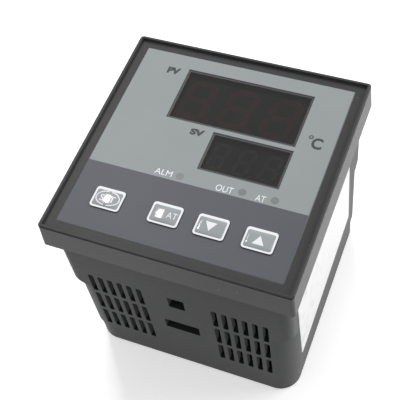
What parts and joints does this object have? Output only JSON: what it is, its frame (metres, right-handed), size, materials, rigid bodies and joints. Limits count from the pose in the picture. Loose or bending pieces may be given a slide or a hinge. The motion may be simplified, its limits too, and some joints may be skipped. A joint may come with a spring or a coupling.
{
  "type": "panel temperature controller",
  "caption": "Square panel-mounting process temperature controller with two unlit digital windows, embossed press keys, a vented body and rear screw terminals.",
  "frame": {"origin": "centre of the rear rim, on which the instrument stands face up", "axes": "+Z out of the front face, +Y to the top of the instrument, +X to its right as seen from the front"},
  "size_m": [0.072, 0.072, 0.069],
  "materials": {
    "case_plastic": "fine-grained dark grey moulding",
    "bezel_plastic": "satin dark grey moulding",
    "overlay_film": "satin printed film",
    "window_tint": "polished smoked plate",
    "display_face": "black display casting",
    "key_film": "glossy embossed film",
    "switch_plastic": "black moulding",
    "plunger_plastic": "coloured moulding",
    "lamp_lens": "diffused lens",
    "board_laminate": "glass-fibre board with solder mask",
    "header_plastic": "black moulding",
    "core_steel": "varnished laminations",
    "winding_tape": "copper under yellow tape",
    "relay_plastic": "blue relay case",
    "capacitor_can": "sleeved aluminium can",
    "chip_plastic": "black epoxy",
    "crystal_can": "drawn steel can",
    "terminal_steel": "nickel-plated",
    "screw_steel": "zinc-plated",
    "label_paper": "blank white self-adhesive label"
  },
  "bodies": {
    "housing": {"alarm_relay": "relay_plastic", "bridge_rectifier": "chip_plastic", "case_sleeve": "case_plastic", "crystal": "crystal_can", "display_board": "board_laminate", "filter_capacitor": "capacitor_can", "front_bezel": "bezel_plastic", "front_overlay": "overlay_film", "lamp_alm": "lamp_lens", "lamp_at": "lamp_lens", "lamp_out": "lamp_lens", "microcontroller": "chip_plastic", "output_relay": "relay_plastic", "power_board": "board_laminate", "power_header": "header_plastic", "pv_display": "display_face", "pv_filter": "window_tint", "rear_cover": "case_plastic", "side_label": "label_paper", "signal_board": "board_laminate", "signal_header": "header_plastic", "sv_display": "display_face", "sv_filter": "window_tint", "tact_switch_at": "switch_plastic", "tact_switch_down": "switch_plastic", "tact_switch_set": "switch_plastic", "tact_switch_up": "switch_plastic", "terminal_plates": "terminal_steel", "terminal_screws": "screw_steel", "terminal_washers": "terminal_steel", "transformer_core": "core_steel", "transformer_winding": "winding_tape"},
    "set_key": {"key_set": "key_film", "switch_plunger_set": "plunger_plastic"},
    "at_key": {"key_at": "key_film", "switch_plunger_at": "plunger_plastic"},
    "down_key": {"key_down": "key_film", "switch_plunger_down": "plunger_plastic"},
    "up_key": {"key_up": "key_film", "switch_plunger_up": "plunger_plastic"}
  },
  "joints": [
    {"name": "set_key_press", "type": "slide", "parent": "housing", "child": "set_key", "axis": [0, 0, -1], "range_m": [0, 0.0004], "stiffness_N_per_m": 1000},
    {"name": "at_key_press", "type": "slide", "parent": "housing", "child": "at_key", "axis": [0, 0, -1], "range_m": [0, 0.0004], "stiffness_N_per_m": 1000},
    {"name": "down_key_press", "type": "slide", "parent": "housing", "child": "down_key", "axis": [0, 0, -1], "range_m": [0, 0.0004], "stiffness_N_per_m": 1000},
    {"name": "up_key_press", "type": "slide", "parent": "housing", "child": "up_key", "axis": [0, 0, -1], "range_m": [0, 0.0004], "stiffness_N_per_m": 1000}
  ]
}
